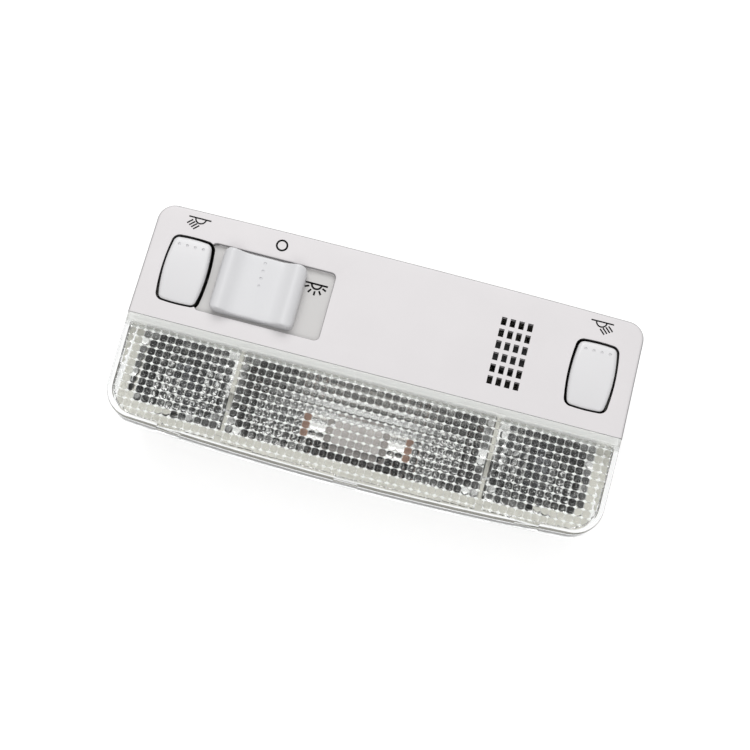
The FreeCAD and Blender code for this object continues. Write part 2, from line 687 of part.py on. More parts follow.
def rocker(x):
    rise = PIVOT_DEPTH + ROCKER_RISE
    bottom = -SKIRT_BELOW_PIVOT
    plan = barrel(x, SWITCH_Y, ROCKER_WIDTH, ROCKER_LENGTH, ROCKER_SIDE_BOW, ROCKER_END_BOW, ROCKER_CORNER,
                  PIVOT_Z + bottom, PIVOT_Z + rise + 1)
    cap = plan.common(rocker_side(rise, -1, bottom - 1, x))
    crown = [f for f in cap.Faces if f.BoundBox.ZMin > PIVOT_Z + rise - ROCKER_CROWN - ROCKER_END_BOW]
    cap = cap.makeFillet(ROCKER_EDGE, crown[0].Edges)
    hollow = barrel(x, SWITCH_Y, ROCKER_WIDTH - 2 * ROCKER_WALL, ROCKER_LENGTH - 2 * ROCKER_WALL,
                    ROCKER_SIDE_BOW, ROCKER_END_BOW, ROCKER_CORNER - ROCKER_WALL / 2,
                    PIVOT_Z + bottom - 1, PIVOT_Z + rise)
    cap = cap.cut(hollow.common(rocker_side(rise - ROCKER_WALL, -1, bottom - 2, x)))
    keel_top = PIVOT_Z + rise - ROCKER_CROWN - ROCKER_WALL / 4
    keel_y = SWITCH_Y + KEEL_OFFSET
    keel = box(x - KEEL_WIDTH / 2, x + KEEL_WIDTH / 2, keel_y - KEEL_THICKNESS / 2,
               keel_y + KEEL_THICKNESS / 2, PIVOT_Z - KEEL_BELOW_PIVOT, keel_top)
    reach = ROCKER_WIDTH / 2 + ROCKER_SIDE_GAP + LUG_THICKNESS
    inside = ROCKER_WIDTH / 2 - ROCKER_WALL
    pins = []
    for way in (-1, 1):
        start = V(x + way * inside, SWITCH_Y, PIVOT_Z)
        pins.append(Part.makeCylinder(PIVOT_RADIUS, reach - inside, start, V(way, 0, 0)))
    cap = cap.fuse([keel] + pins)
    drop = ROCKER_CROWN * (2 * DIMPLE_OFFSET / ROCKER_LENGTH) ** 2
    dimples = []
    for index in range(DIMPLE_COUNT):
        side = (index - (DIMPLE_COUNT - 1) / 2) * DIMPLE_PITCH
        level = PIVOT_Z + rise - drop
        dimples.append(post(x + side, SWITCH_Y + DIMPLE_OFFSET, DIMPLE_RADIUS,
                            level - DIMPLE_DEPTH, level + 1))
    cap = cap.cut(dimples).removeSplitter()
    cap.rotate(V(x, SWITCH_Y, PIVOT_Z), V(1, 0, 0), ROCKER_TILT)
    return cap


def contact_level():
    """Top of the rocker leaves: just under a keel pressed right down."""
    tilt = math.radians(ROCKER_TILT)
    along = (KEEL_OFFSET + KEEL_THICKNESS / 2) * math.sin(tilt)
    return PIVOT_Z - KEEL_BELOW_PIVOT * math.cos(tilt) - along - 2 * SEAT_CLEARANCE


def contact_posts():
    posts = []
    for way in (-1, 1):
        x = way * ROCKER_X
        posts.append(box(x - KEEL_WIDTH / 2, x + KEEL_WIDTH / 2, SWITCH_Y - KEEL_OFFSET,
                         SWITCH_Y - KEEL_OFFSET / 2, DECK_UNDER, contact_level() - CONTACT_THICKNESS))
    return posts


def rocker_contact(way):
    """A spring leaf that lies on its post and reaches under the keel."""
    x = way * ROCKER_X
    top = contact_level()
    return box(x - KEEL_WIDTH / 2, x + KEEL_WIDTH / 2, SWITCH_Y - KEEL_OFFSET,
               SWITCH_Y + KEEL_OFFSET + KEEL_THICKNESS, top - CONTACT_THICKNESS, top)


# Slide switch
def knob_profile(y):
    base_z = RECESS_Z + SLIDE_CLEARANCE
    half = KNOB_LENGTH / 2
    edge = (half + KNOB_RIDGE_X) / 2
    slope = ((KNOB_VALLEY_X + KNOB_RIDGE_X) / 2, (KNOB_VALLEY + KNOB_RIDGE) / 2)
    right = [(KNOB_VALLEY_X, KNOB_VALLEY), slope, (KNOB_RIDGE_X, KNOB_RIDGE),
             (edge, KNOB_RIDGE - 0.8), (half, KNOB_SHOULDER)]
    left = [(-x, z) for x, z in reversed(right)]
    curve = Part.BSplineCurve()
    curve.interpolate([V(KNOB_X + x, y, base_z + z) for x, z in left + [(0, KNOB_VALLEY)] + right])
    foot_left = V(KNOB_X - half, y, base_z)
    foot_right = V(KNOB_X + half, y, base_z)
    top = curve.toShape()
    ends = [V(KNOB_X - half, y, base_z + KNOB_SHOULDER), V(KNOB_X + half, y, base_z + KNOB_SHOULDER)]
    return Part.Wire([top, Part.makeLine(ends[1], foot_right), Part.makeLine(foot_right, foot_left),
                      Part.makeLine(foot_left, ends[0])])


def top_edges(body, foot):
    return [e for e in body.Edges if e.BoundBox.ZMin > foot + KNOB_SHOULDER / 2]


def slide_knob():
    base_z = RECESS_Z + SLIDE_CLEARANCE
    y0 = SWITCH_Y - KNOB_HEIGHT / 2
    y1 = SWITCH_Y + KNOB_HEIGHT / 2
    half = KNOB_LENGTH / 2
    body = extrude(knob_profile(y0), V(0, KNOB_HEIGHT, 0))
    body = body.makeFillet(KNOB_CORNER, upright_edges(body))
    body = body.makeFillet(KNOB_EDGE, top_edges(body, base_z))
    hollow = rounded_box(KNOB_X - half + KNOB_WALL, KNOB_X + half - KNOB_WALL, y0 + KNOB_WALL, y1 - KNOB_WALL,
                         base_z - 1, base_z + KNOB_VALLEY - KNOB_WALL, KNOB_CORNER)
    stem = box(KNOB_X - STEM_LENGTH / 2, KNOB_X + STEM_LENGTH / 2, SWITCH_Y - STEM_HEIGHT / 2,
               SWITCH_Y + STEM_HEIGHT / 2, RECESS_Z - STEM_DEPTH, base_z + KNOB_VALLEY - KNOB_WALL / 2)
    dimples = []
    for index in range(DIMPLE_COUNT):
        y = SWITCH_Y + KNOB_DIMPLE_TOP - index * KNOB_DIMPLE_PITCH
        level = base_z + KNOB_VALLEY
        dimples.append(post(KNOB_X, y, DIMPLE_RADIUS, level - DIMPLE_DEPTH, level + 1))
    return body.cut(hollow).fuse(stem).cut(dimples).removeSplitter()


def carrier_under():
    return FLOOR_UNDER - SLIDE_CLEARANCE - CARRIER_THICKNESS


def slide_carrier():
    """The block pressed on the stem below the recess floor, which keeps the knob in."""
    block = box(KNOB_X - CARRIER_LENGTH / 2, KNOB_X + CARRIER_LENGTH / 2, SWITCH_Y - CARRIER_HEIGHT / 2,
                SWITCH_Y + CARRIER_HEIGHT / 2, carrier_under(), FLOOR_UNDER - SLIDE_CLEARANCE)
    socket = box(KNOB_X - STEM_LENGTH / 2, KNOB_X + STEM_LENGTH / 2, SWITCH_Y - STEM_HEIGHT / 2,
                 SWITCH_Y + STEM_HEIGHT / 2, RECESS_Z - STEM_DEPTH, FLOOR_UNDER)
    return block.cut(socket)


def slide_contact():
    """A bridge plate under the carrier with two bumps that run over the terminals."""
    top = carrier_under()
    plate = box(KNOB_X - CARRIER_LENGTH / 2, KNOB_X + CARRIER_LENGTH / 2, SWITCH_Y - TERMINAL_HEIGHT,
                SWITCH_Y + TERMINAL_HEIGHT, top - CONTACT_THICKNESS, top)
    bumps = []
    for way in (-1, 1):
        x = KNOB_X + way * CARRIER_LENGTH / 4
        bumps.append(Part.makeCylinder(CONTACT_BUMP, 2 * TERMINAL_HEIGHT,
                                       V(x, SWITCH_Y - TERMINAL_HEIGHT, top - CONTACT_THICKNESS), V(0, 1, 0)))
    below = box(-FAR, FAR, -FAR, FAR, 0, top - CONTACT_THICKNESS / 2)
    return plate.fuse([bump.common(below) for bump in bumps]).removeSplitter()


def terminal_level():
    return carrier_under() - CONTACT_THICKNESS - CONTACT_BUMP - SEAT_CLEARANCE - TERMINAL_THICKNESS


def slide_terminals():
    pads = []
    for index in (-1, 0, 1):
        x = KNOB_X + SLIDE_TRAVEL / 2 + index * (TERMINAL_LENGTH + CONTACT_BUMP)
        pads.append(box(x - TERMINAL_LENGTH / 2, x + TERMINAL_LENGTH / 2, SWITCH_Y - TERMINAL_HEIGHT,
                        SWITCH_Y + TERMINAL_HEIGHT, terminal_level(), terminal_level() + TERMINAL_THICKNESS))
    return Part.makeCompound(pads)


# Microphone behind the grille
def microphone_boot():
    y = GRILLE_Y
    low = FACE_UNDER - BOOT_HEIGHT
    cup = post(GRILLE_X, y, BOOT_RADIUS, low, FACE_UNDER)
    return cup.cut(post(GRILLE_X, y, CAPSULE_RADIUS, FACE_UNDER - CAPSULE_HEIGHT, FACE_UNDER + 1))


def microphone_capsule():
    y = GRILLE_Y
    return post(GRILLE_X, y, CAPSULE_RADIUS, FACE_UNDER - CAPSULE_HEIGHT, FACE_UNDER - SEAT_CLEARANCE)


# Conductors on the rear of the deck
def conductor(pieces):
    plate = pieces[0].fuse(pieces[1:]).removeSplitter()
    holes = [post(x, y, STAKE_RADIUS, 0, DECK_UNDER) for x, y in stake_places()]
    return plate.cut(holes)


def flat_bar(x0, x1, y0, y1):
    return box(x0, x1, y0, y1, DECK_UNDER - CONDUCTOR_THICKNESS, DECK_UNDER)


def supply_strip():
    y = SEAM_Y + SUPPLY_ROW
    half = CONDUCTOR_WIDTH / 2
    bottom = CONNECTOR_Y - CONNECTOR_HEIGHT / 2
    bar = flat_bar(-DIVIDER_X, CONNECTOR_RIGHT, y - half, y + half)
    branch = flat_bar(CONNECTOR_X - half, CONNECTOR_X + half, y, bottom - SEAT_CLEARANCE)
    return conductor([bar, branch])


def ground_strip():
    y = GROUND_Y
    half = CONDUCTOR_WIDTH / 2
    row = CONNECTOR_Y
    far = DIVIDER_X + CONDUCTOR_WIDTH
    bar = flat_bar(-DIVIDER_X, far, y - half, y + half)
    riser = flat_bar(DIVIDER_X, far, y, row + half)
    end = flat_bar(CONNECTOR_RIGHT + SEAT_CLEARANCE, far, row - half, row + half)
    return conductor([bar, riser, end])


def lamp_strip():
    """Joins the slide switch to the middle bulb, past the left end of the supply strip."""
    y = SEAM_Y + SUPPLY_ROW
    x1 = -DIVIDER_X - SEAT_CLEARANCE
    x0 = x1 - CONDUCTOR_WIDTH
    half = CONDUCTOR_WIDTH / 2
    riser = flat_bar(x0, x1, FESTOON_Y - half, y + half)
    end = clip_x(-1) - CLIP_THICKNESS / 2 - SEAT_CLEARANCE
    bar = flat_bar(x0, end, FESTOON_Y - half, FESTOON_Y + half)
    return conductor([riser, bar])


def stake_places():
    left = CONDUCTOR_WIDTH - DIVIDER_X
    supply = [(x, SEAM_Y + SUPPLY_ROW) for x in (left, 0, CONNECTOR_X - CONDUCTOR_WIDTH)]
    ground = [(x, GROUND_Y) for x in (left, 0, -left)]
    lamp = [(-DIVIDER_X - SEAT_CLEARANCE - CONDUCTOR_WIDTH / 2, SEAM_Y - SUPPLY_ROW)]
    return supply + ground + lamp


def stakes():
    """Pegs of the base, flattened over the conductors."""
    low = DECK_UNDER - CONDUCTOR_THICKNESS - STAKE_RISE
    return [post(x, y, STAKE_RADIUS, low, DECK_HEIGHT) for x, y in stake_places()]


# Connector
def connector_shroud():
    y = CONNECTOR_Y
    half = CONNECTOR_HEIGHT / 2
    inner = half - CONNECTOR_WALL
    block = rounded_box(CONNECTOR_LEFT, CONNECTOR_RIGHT, y - half, y + half, CONNECTOR_CLEAR, DECK_UNDER,
                        CONNECTOR_WALL)
    mouth = box(CONNECTOR_LEFT + CONNECTOR_WALL, CONNECTOR_RIGHT - CONNECTOR_WALL, y - inner, y + inner,
                CONNECTOR_CLEAR - 1, DECK_UNDER - CONNECTOR_FLOOR)
    return block.cut([mouth] + pin_slots())


def pin_box(index, z0, z1):
    x = CONNECTOR_X + (index - (PIN_COUNT - 1) / 2) * PIN_PITCH
    y = CONNECTOR_Y
    return box(x - PIN_SIZE / 2, x + PIN_SIZE / 2, y - PIN_SIZE / 2, y + PIN_SIZE / 2, z0, z1)


def pin_slots():
    return [pin_box(index, DECK_UNDER - CONNECTOR_FLOOR, DECK_HEIGHT) for index in range(PIN_COUNT)]


def connector_pins():
    low = DECK_UNDER - CONNECTOR_FLOOR - PIN_RISE
    return Part.makeCompound([pin_box(index, low, DECK_HEIGHT) for index in range(PIN_COUNT)])


# Screws and retaining springs
def base_screws():
    screws = []
    for x, y in BOSSES:
        shank = post(x, y, SCREW_RADIUS, DECK_UNDER - SCREW_HEAD, DECK_UNDER - SCREW_HEAD + SCREW_LENGTH)
        head = post(x, y, SCREW_HEAD_RADIUS, DECK_UNDER - SCREW_HEAD, DECK_UNDER)
        screws.append(shank.fuse(head).removeSplitter())
    return Part.makeCompound(screws)


def retaining_spring(way):
    """A bowed leaf on the end wall of the base, hooked round its rear edge."""
    wall = LENGTH / 2 - BASE_INSET
    top = SPRING_FOOT + SPRING_LENGTH
    middle = SPRING_FOOT + SPRING_LENGTH / 2
    y = SEAM_Y + SPRING_ROW - SPRING_WIDTH / 2
    outline = []
    for shift in (SPRING_THICKNESS, 0):
        outline.append(arc(V(way * (wall + shift), y, SPRING_FOOT),
                           V(way * (wall + SPRING_BULGE + shift), y, middle),
                           V(way * (wall + shift), y, top)))
    low = Part.makeLine(V(way * wall, y, SPRING_FOOT), V(way * (wall + SPRING_THICKNESS), y, SPRING_FOOT))
    high = Part.makeLine(V(way * wall, y, top), V(way * (wall + SPRING_THICKNESS), y, top))
    bow = extrude(Part.Wire([outline[0], high, outline[1], low]), V(0, SPRING_WIDTH, 0))
    foot_x = sorted((way * wall, way * (wall + SPRING_THICKNESS)))
    foot = box(foot_x[0], foot_x[1], y, y + SPRING_WIDTH, SPRING_THICKNESS, SPRING_FOOT)
    return bow.fuse(foot).removeSplitter()


PARTS = {
    "front_bezel": front_bezel(),
    "lens": lens(),
    "base": base(),
    "slide_knob": slide_knob(),
    "slide_carrier": slide_carrier(),
    "slide_contact": slide_contact(),
    "slide_terminals": slide_terminals(),
    "festoon_glass": festoon_glass(),
    "festoon_caps": festoon_caps(),
    "festoon_filament": festoon_filament(),
    "microphone_boot": microphone_boot(),
    "microphone_capsule": microphone_capsule(),
    "supply_strip": supply_strip(),
    "ground_strip": ground_strip(),
    "lamp_strip": lamp_strip(),
    "connector_shroud": connector_shroud(),
    "connector_pins": connector_pins(),
    "base_screws": base_screws(),
}

for name, limits in wells().items():
    PARTS[name] = reflector(limits)

for side, way in (("left", -1), ("right", 1)):
    PARTS[side + "_rocker"] = rocker(way * ROCKER_X)
    PARTS[side + "_rocker_contact"] = rocker_contact(way)
    PARTS[side + "_festoon_clip"] = festoon_clip(way)
    PARTS[side + "_bulb_glass"] = bulb_glass(way)
    PARTS[side + "_bulb_filament"] = bulb_filament(way)
    PARTS[side + "_bulb_socket"] = bulb_socket(way)
    PARTS[side + "_retaining_spring"] = retaining_spring(way)

for name, shape in PARTS.items():
    shape.exportStep("parts/" + name + ".step")
    print(name, "solids", len(shape.Solids), "volume", round(shape.Volume, 1), "valid", shape.isValid())
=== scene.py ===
# %% [markdown]
# # A car's overhead reading light
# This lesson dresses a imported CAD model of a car's ceiling lamp unit.
# The CAD part brings the true sizes and the moving switches.
# Here we add what a camera sees: finishes, the optics of the clear cover, printed symbols and light.

# %% Load the frame
import json
import math
import bmesh
import bpy
from mathutils import Matrix, Vector


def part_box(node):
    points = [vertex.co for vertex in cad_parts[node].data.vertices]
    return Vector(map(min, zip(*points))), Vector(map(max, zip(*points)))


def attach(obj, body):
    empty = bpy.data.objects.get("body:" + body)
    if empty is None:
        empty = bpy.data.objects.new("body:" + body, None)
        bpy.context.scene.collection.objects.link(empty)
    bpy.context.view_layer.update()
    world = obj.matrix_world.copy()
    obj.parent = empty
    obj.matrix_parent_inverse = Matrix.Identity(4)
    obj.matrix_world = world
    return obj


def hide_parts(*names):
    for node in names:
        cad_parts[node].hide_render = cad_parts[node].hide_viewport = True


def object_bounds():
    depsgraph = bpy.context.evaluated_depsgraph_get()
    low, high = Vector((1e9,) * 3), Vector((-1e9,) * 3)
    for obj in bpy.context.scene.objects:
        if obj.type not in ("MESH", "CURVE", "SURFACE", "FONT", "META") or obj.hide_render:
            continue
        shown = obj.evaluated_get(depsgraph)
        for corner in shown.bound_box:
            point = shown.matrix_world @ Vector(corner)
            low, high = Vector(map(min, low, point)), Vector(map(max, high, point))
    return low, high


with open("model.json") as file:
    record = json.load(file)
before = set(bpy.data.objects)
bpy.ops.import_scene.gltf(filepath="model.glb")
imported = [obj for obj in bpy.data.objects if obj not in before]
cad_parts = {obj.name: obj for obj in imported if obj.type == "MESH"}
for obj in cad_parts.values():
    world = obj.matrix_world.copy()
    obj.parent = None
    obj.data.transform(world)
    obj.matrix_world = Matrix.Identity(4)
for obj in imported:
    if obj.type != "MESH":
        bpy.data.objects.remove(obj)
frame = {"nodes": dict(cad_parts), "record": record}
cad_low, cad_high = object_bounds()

scene = bpy.context.scene
nodes = frame["nodes"]
MM = 0.001
print("CAD box in mm:", [round(v / MM, 1) for v in cad_high - cad_low])

# %% [markdown]
# ## Measures taken from the frame
# The looks are laid out from a few places on the unit: its face, the seam and the dividers between the lamps.
# They could be typed in, but we measure them on the CAD nodes, so most of the looks follow a change of size.
# The face is the top level of the cover, and the seam is where the cover meets the bezel.

# %% Measures
lens_low, lens_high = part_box("lens")
face_z = lens_high.z
seam_y = lens_high.y
divider_x = (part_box("centre_reflector")[1].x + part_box("right_reflector")[0].x) / 2
print("face level", round(face_z / MM, 2), "mm, seam at", round(seam_y / MM, 2), "mm")

# %% [markdown]
# ## Camera
# The unit is seen from in front of its face, a little from below, and turned in the picture.
# A camera could be aimed with a constraint, but here its three axes are worked out, to set the turn too.
# A long lens keeps the sides almost parallel, as in a catalogue picture.

# %% Camera
camera_place = Vector((0.0170865, -0.1274673, 0.5424131))
camera_target = Vector((0.0005861, -0.0020851, 0.038))
camera_roll = 0.2623
focal_length = 63.88
forward = (camera_target - camera_place).normalized()
right = forward.cross(Vector((0, 1, 0))).normalized()
up = right.cross(forward)
rolled_right = right * math.cos(camera_roll) + up * math.sin(camera_roll)
rolled_up = up * math.cos(camera_roll) - right * math.sin(camera_roll)
camera_data = bpy.data.cameras.new("camera")
camera_data.lens = focal_length
camera = bpy.data.objects.new("camera", camera_data)
camera.matrix_world = Matrix.Translation(camera_place) @ Matrix(
    (rolled_right, rolled_up, -forward)).transposed().to_4x4()
scene.collection.objects.link(camera)
scene.camera = camera
scene.view_settings.view_transform = "Standard"
print("camera stands", round((camera_target - camera_place).length, 3), "m from the face")

# %% [markdown]
# ## Small sums in shaders
# Materials and the world need little sums, such as the larger of two values, or a ramp between two levels.
# Each one is a node. Two helpers make such a node and wire it, which keeps the cells below short.


# %% Shader sums
def measure(tree, operation, first, second):
    """A small sum on two values, each a socket or a number."""
    step = tree.nodes.new("ShaderNodeMath")
    step.operation = operation
    for socket, value in zip(step.inputs, (first, second)):
        if isinstance(value, bpy.types.NodeSocket):
            tree.links.new(value, socket)
        else:
            socket.default_value = value
    return step.outputs["Value"]


def ramp(tree, value, start, end, first=0.0, last=1.0):
    """A level that goes from first to last while the value goes from start to end."""
    node = tree.nodes.new("ShaderNodeMapRange")
    node.inputs["From Min"].default_value = start
    node.inputs["From Max"].default_value = end
    node.inputs["To Min"].default_value = first
    node.inputs["To Max"].default_value = last
    tree.links.new(value, node.inputs["Value"])
    return node.outputs["Result"]


print("shader sums are ready")

# %% [markdown]
# ## A tent of light
# A product like this is photographed in a white tent, so that a colour renders about as it is written.
# A picture of a studio could be the world, but a plain slope of brightness needs no file.
# The tent is brightest overhead and dimmer towards the horizon, which shades every slope of the unit.
# What is seen straight, mirrored or through clear pieces is plain white.


# %% World
def seen_rays(tree):
    """One for rays that show the background: straight, mirrored or through clear pieces."""
    rays = tree.nodes.new("ShaderNodeLightPath")
    mirrored = measure(tree, "MAXIMUM", rays.outputs["Is Camera Ray"], rays.outputs["Is Glossy Ray"])
    return measure(tree, "MAXIMUM", mirrored, rays.outputs["Is Transmission Ray"])


horizon_level = 0.22
overhead_level = 0.86
world = bpy.data.worlds.new("tent")
world.use_nodes = True
scene.world = world
world_tree = world.node_tree
tent = world_tree.nodes["Background"]
tent.inputs["Color"].default_value = (1.0, 1.0, 1.0, 1.0)
heading = world_tree.nodes.new("ShaderNodeTexCoord")
axes = world_tree.nodes.new("ShaderNodeSeparateXYZ")
world_tree.links.new(heading.outputs["Generated"], axes.inputs["Vector"])
level = world_tree.nodes.new("ShaderNodeMix")
level.inputs["B"].default_value = 1.0
slope = ramp(world_tree, axes.outputs["Z"], 0.0, 1.0, horizon_level, overhead_level)
world_tree.links.new(slope, level.inputs["A"])
world_tree.links.new(seen_rays(world_tree), level.inputs["Factor"])
world_tree.links.new(level.outputs["Result"], tent.inputs["Strength"])
print("tent shines from", horizon_level, "at the horizon to", overhead_level, "overhead")

# %% [markdown]
# ## Lamps
# One broad lamp above the switch side gives the soft shading on the rockers and in the recess.
# A weaker one on the other side sends light into the lamp chambers.
# Point lamps or a sun would draw hard shadows, which such a picture doesn't have, so both are area lamps.


# %% Lamps
def soft_lamp(name, place, target, size, power):
    """A lamp of a width and height in metres and a power in watts that faces the target."""
    data = bpy.data.lights.new(name, "AREA")
    data.shape = "RECTANGLE"
    data.size = size[0]
    data.size_y = size[1]
    data.energy = power
    lamp = bpy.data.objects.new(name, data)
    lamp.location = place
    lamp.rotation_euler = (Vector(target) - Vector(place)).to_track_quat("-Z", "Y").to_euler()
    scene.collection.objects.link(lamp)
    print(name, "gives", round(power, 1), "W over", size[0], "by", size[1], "m")


soft_lamp("key_lamp", (-0.15, 0.65, 0.75), (0, 0, 0.03), (0.9, 0.5), 4.6)
soft_lamp("fill_lamp", (0.1, -0.6, 0.7), (0, -0.02, 0.03), (0.8, 0.4), 1.6)

# %% [markdown]
# ## Floor
# The unit lies on its back on white paper, which takes the soft shadow under its lower edge.
# More light would also whiten the paper, but it would bleach the unit too.
# So the paper has a glow that shows straight, mirrored or through clear pieces, and doesn't light matt ones.
# It lifts the paper to white outside the shadow.

# %% Floor
floor_half = 3.0
floor_gap = 0.5 * MM
paper_glow = 0.71
sheet = [(-floor_half, -floor_half, 0), (floor_half, -floor_half, 0),
         (floor_half, floor_half, 0), (-floor_half, floor_half, 0)]
floor_mesh = bpy.data.meshes.new("paper_floor")
floor_mesh.from_pydata(sheet, [], [(0, 1, 2, 3)])
floor = bpy.data.objects.new("paper_floor", floor_mesh)
floor.location.z = cad_low.z - floor_gap
scene.collection.objects.link(floor)
paper = bpy.data.materials.new("paper")
paper.use_nodes = True
paper_tree = paper.node_tree
paper_shader = paper_tree.nodes["Principled BSDF"]
paper_shader.inputs["Roughness"].default_value = 0.9
paper_shader.inputs["Specular IOR Level"].default_value = 0.0
paper_shader.inputs["Emission Color"].default_value = (1.0, 1.0, 1.0, 1.0)
glow_level = ramp(paper_tree, seen_rays(paper_tree), 0.0, 1.0, 0.0, paper_glow)
paper_tree.links.new(glow_level, paper_shader.inputs["Emission Strength"])
floor_mesh.materials.append(paper)
print("floor lies at", round(floor.location.z / MM, 2), "mm")

# %% [markdown]
# ## Two colours in one surface
# Paper, plastic and metal are never one flat colour, so each one here is a mix of two close colours.
# A painted picture could hold that mix. A noise needs no picture and shows no repeats, so it is used here.


# %% Colour mix
def mixed(tree, share, first, last):
    """A colour from first to last by share, where first is a socket or a colour."""
    mix = tree.nodes.new("ShaderNodeMix")
    mix.data_type = "RGBA"
    if isinstance(first, bpy.types.NodeSocket):
        tree.links.new(first, mix.inputs["A"])
    else:
        mix.inputs["A"].default_value = (*first, 1.0)
    mix.inputs["B"].default_value = (*last, 1.0)
    tree.links.new(share, mix.inputs["Factor"])
    return mix.outputs["Result"]


paper_noise = paper_tree.nodes.new("ShaderNodeTexNoise")
paper_noise.inputs["Scale"].default_value = 40.0
paper_colour = mixed(paper_tree, paper_noise.outputs["Fac"], (0.40, 0.40, 0.40), (0.43, 0.43, 0.43))
paper_tree.links.new(paper_colour, paper_shader.inputs["Base Color"])
print("paper is mixed from two greys")

# %% [markdown]
# ## Finishes
# Real moulded and pressed surfaces vary a little in colour and gloss, and have a fine grain from their tool.
# Each finish could be wired by hand, but then a change has to be made many times over.
# One function builds them all, so each material below only lists what is special about it.


# %% Finish helper
def speckle(tree, scale, detail=2.0):
    """Noise that sticks to the piece; a larger scale makes smaller spots."""
    place = tree.nodes.new("ShaderNodeTexCoord")
    noise = tree.nodes.new("ShaderNodeTexNoise")
    noise.inputs["Scale"].default_value = scale
    noise.inputs["Detail"].default_value = detail
    tree.links.new(place.outputs["Object"], noise.inputs["Vector"])
    return noise.outputs["Fac"]


def finish(name, colour, shade, roughness, spread=0.06, metallic=0.0, patch=60.0, grain=2500.0,
           depth=0.004):
    """A material between colour and shade, with gloss that varies by spread and a grain of depth mm."""
    material = bpy.data.materials.new(name)
    material.use_nodes = True
    tree = material.node_tree
    shader = tree.nodes["Principled BSDF"]
    shader.inputs["Metallic"].default_value = metallic
    blotch = speckle(tree, patch, 3.0)
    tree.links.new(mixed(tree, blotch, colour, shade), shader.inputs["Base Color"])
    gloss = ramp(tree, blotch, 0.0, 1.0, roughness - spread, roughness + spread)
    tree.links.new(gloss, shader.inputs["Roughness"])
    bump = tree.nodes.new("ShaderNodeBump")
    bump.inputs["Strength"].default_value = 0.5
    bump.inputs["Distance"].default_value = depth * MM
    tree.links.new(speckle(tree, grain), bump.inputs["Height"])
    tree.links.new(bump.outputs["Normal"], shader.inputs["Normal"])
    return material


finishes = {}
print("finish helper is ready")

# %% [markdown]
# ## Plastics
# The face is a satin light grey, and the slide switch is a shade whiter and a little glossier.
# The rear carrier is cream, the bulb holders are dark and the microphone boot is matt rubber.
# The ink of the symbols is almost without gloss.
# All could share one grey with a tint, but their gloss differs most, so each has a finish of its own.

# %% Plastics
finishes["face_grey"] = finish("face_grey", (0.715, 0.692, 0.700), (0.680, 0.658, 0.666), 0.52)
finishes["switch_white"] = finish("switch_white", (0.69, 0.69, 0.70), (0.66, 0.66, 0.675), 0.32, depth=0.002)
finishes["carrier_cream"] = finish("carrier_cream", (0.54, 0.53, 0.48), (0.40, 0.39, 0.345), 0.5)
finishes["holder_dark"] = finish("holder_dark", (0.025, 0.025, 0.028), (0.04, 0.04, 0.043), 0.5)
finishes["boot_rubber"] = finish("boot_rubber", (0.012, 0.012, 0.013), (0.022, 0.022, 0.023), 0.75)
ink = finish("ink_black", (0.004, 0.004, 0.004), (0.009, 0.009, 0.009), 0.8)
ink.node_tree.nodes["Principled BSDF"].inputs["Specular IOR Level"].default_value = 0.1
print("plastics:", ", ".join(finishes))

# %% [markdown]
# ## Colour by place
# Some pieces get painted shade and light from place to place: a dark gap, a darker floor, a light wall.
# The faces could be picked out and given other materials, but a change of size would lose the choice.
# So the shader asks where the shaded point lies, and how far its surface faces up or down.


# %% Colour by place
def between(tree, value, low, high):
    """One where the value lies between two numbers, else nought."""
    above = measure(tree, "GREATER_THAN", value, low)
    return measure(tree, "MULTIPLY", above, measure(tree, "LESS_THAN", value, high))


def places(tree):
    """Sockets with X, Y and Z of the shaded point, and how far its surface faces up or down."""
    spot = tree.nodes.new("ShaderNodeTexCoord")
    split = tree.nodes.new("ShaderNodeSeparateXYZ")
    tree.links.new(spot.outputs["Object"], split.inputs["Vector"])
    facing = tree.nodes.new("ShaderNodeNewGeometry")
    tilt = tree.nodes.new("ShaderNodeSeparateXYZ")
    tree.links.new(facing.outputs["True Normal"], tilt.inputs["Vector"])
    flat = measure(tree, "ABSOLUTE", tilt.outputs["Z"], 0.0)
    return {"x": split.outputs["X"], "y": split.outputs["Y"], "z": split.outputs["Z"], "flat": flat}


def tone(material, share, colour):
    """Lays another colour over a finish where share is one."""
    tree = material.node_tree
    base = tree.nodes["Principled BSDF"].inputs["Base Color"]
    tree.links.new(mixed(tree, share, base.links[0].from_socket, colour), base)


print("colour by place is ready")

# %% [markdown]
# ## Dark gaps round the rockers
# The gap round each rocker looks black, as it lies in deep shade.
# That shade is painted: the rocker is darkened below the face, and so are the walls of its opening in the
# bezel.
# A dark switch body could be a piece of its own, but only the gap would show it.

# %% Rocker gaps
shade_below = 0.1 * MM
wall_shade_below = 0.6 * MM
opening_inner_x = 73.1 * MM
opening_outer_x = 92.8 * MM
opening_half_y = 15.5 * MM
rocker_white = finish("rocker_white", (0.725, 0.72, 0.73), (0.695, 0.69, 0.70), 0.32, depth=0.002)
rocker_tree = rocker_white.node_tree
# Painted shade: the rocker is near black below the face, so the gap round it looks dark.
gap_shade = measure(rocker_tree, "LESS_THAN", places(rocker_tree)["z"], face_z - shade_below)
tone(rocker_white, gap_shade, (0.012, 0.012, 0.012))

